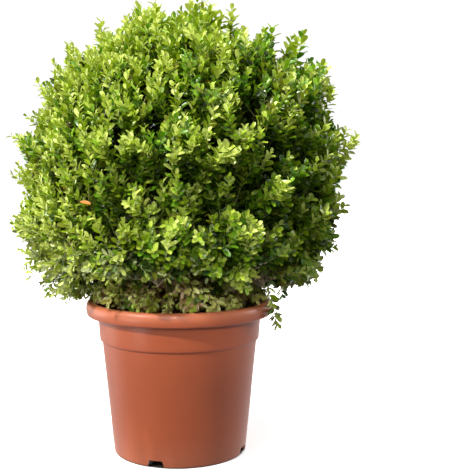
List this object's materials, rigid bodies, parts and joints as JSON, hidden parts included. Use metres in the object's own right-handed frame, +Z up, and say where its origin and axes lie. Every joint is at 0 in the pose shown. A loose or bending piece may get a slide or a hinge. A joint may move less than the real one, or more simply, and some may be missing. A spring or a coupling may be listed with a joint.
{
  "type": "box topiary ball",
  "caption": "Evergreen box shrub clipped to a ball, growing on a short stem in a round, rimmed plastic pot that stands on its flat underside.",
  "frame": {"origin": "centre of the flat underside of the pot's floor, on the ground", "axes": "+Z up along the pot's axis, -Y towards the front that the picture shows, +X to the right in it"},
  "size_m": [0.5251, 0.5094, 0.6751],
  "materials": {
    "pot": "satin terracotta-coloured plastic",
    "compost": "rough dark crumb",
    "bark": "rough grey-brown bark",
    "leaf": "glossy green leaf"
  },
  "bodies": {
    "root": {"pot": "pot", "compost": "compost", "stem": "bark", "bough_top": "bark", "bough_upper_1": "bark", "bough_upper_2": "bark", "bough_upper_3": "bark", "bough_upper_4": "bark", "bough_upper_5": "bark", "bough_lower_1": "bark", "bough_lower_2": "bark", "bough_lower_3": "bark", "bough_lower_4": "bark", "bough_lower_5": "bark", "bough_lower_6": "bark", "bough_lower_7": "bark", "foliage_top": "leaf", "foliage_upper_1": "leaf", "foliage_upper_2": "leaf", "foliage_upper_3": "leaf", "foliage_upper_4": "leaf", "foliage_upper_5": "leaf", "foliage_lower_1": "leaf", "foliage_lower_2": "leaf", "foliage_lower_3": "leaf", "foliage_lower_4": "leaf", "foliage_lower_5": "leaf", "foliage_lower_6": "leaf", "foliage_lower_7": "leaf"}
  },
  "joints": []
}
